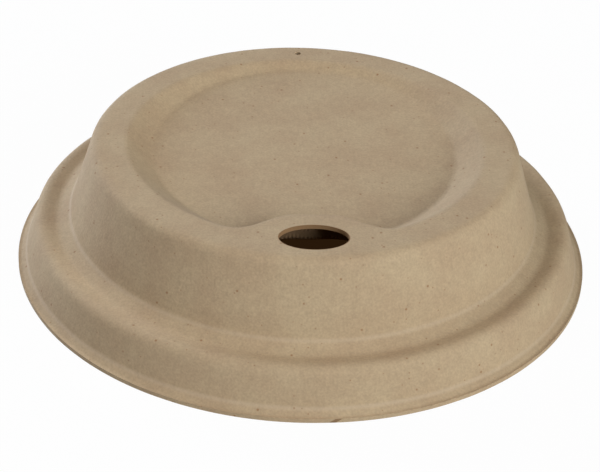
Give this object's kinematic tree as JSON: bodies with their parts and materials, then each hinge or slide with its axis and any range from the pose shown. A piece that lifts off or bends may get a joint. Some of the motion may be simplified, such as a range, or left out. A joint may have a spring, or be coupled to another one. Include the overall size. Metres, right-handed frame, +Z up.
{
  "type": "coffee cup lid",
  "caption": "Moulded-fibre lid for a takeaway hot cup: flared brim, snap skirt, seal crease, raised dome with a recessed top, an oval drinking hole and a round vent.",
  "frame": {"origin": "on the lid's axis, at the level its brim rests on", "axes": "+Z up along the lid's axis; -Y towards the drinking hole, +Y towards the vent"},
  "size_m": [0.0948, 0.095, 0.0206],
  "materials": {
    "pulp": "matt unbleached moulded fibre"
  },
  "bodies": {
    "root": {"lid_shell": "pulp"}
  },
  "joints": []
}
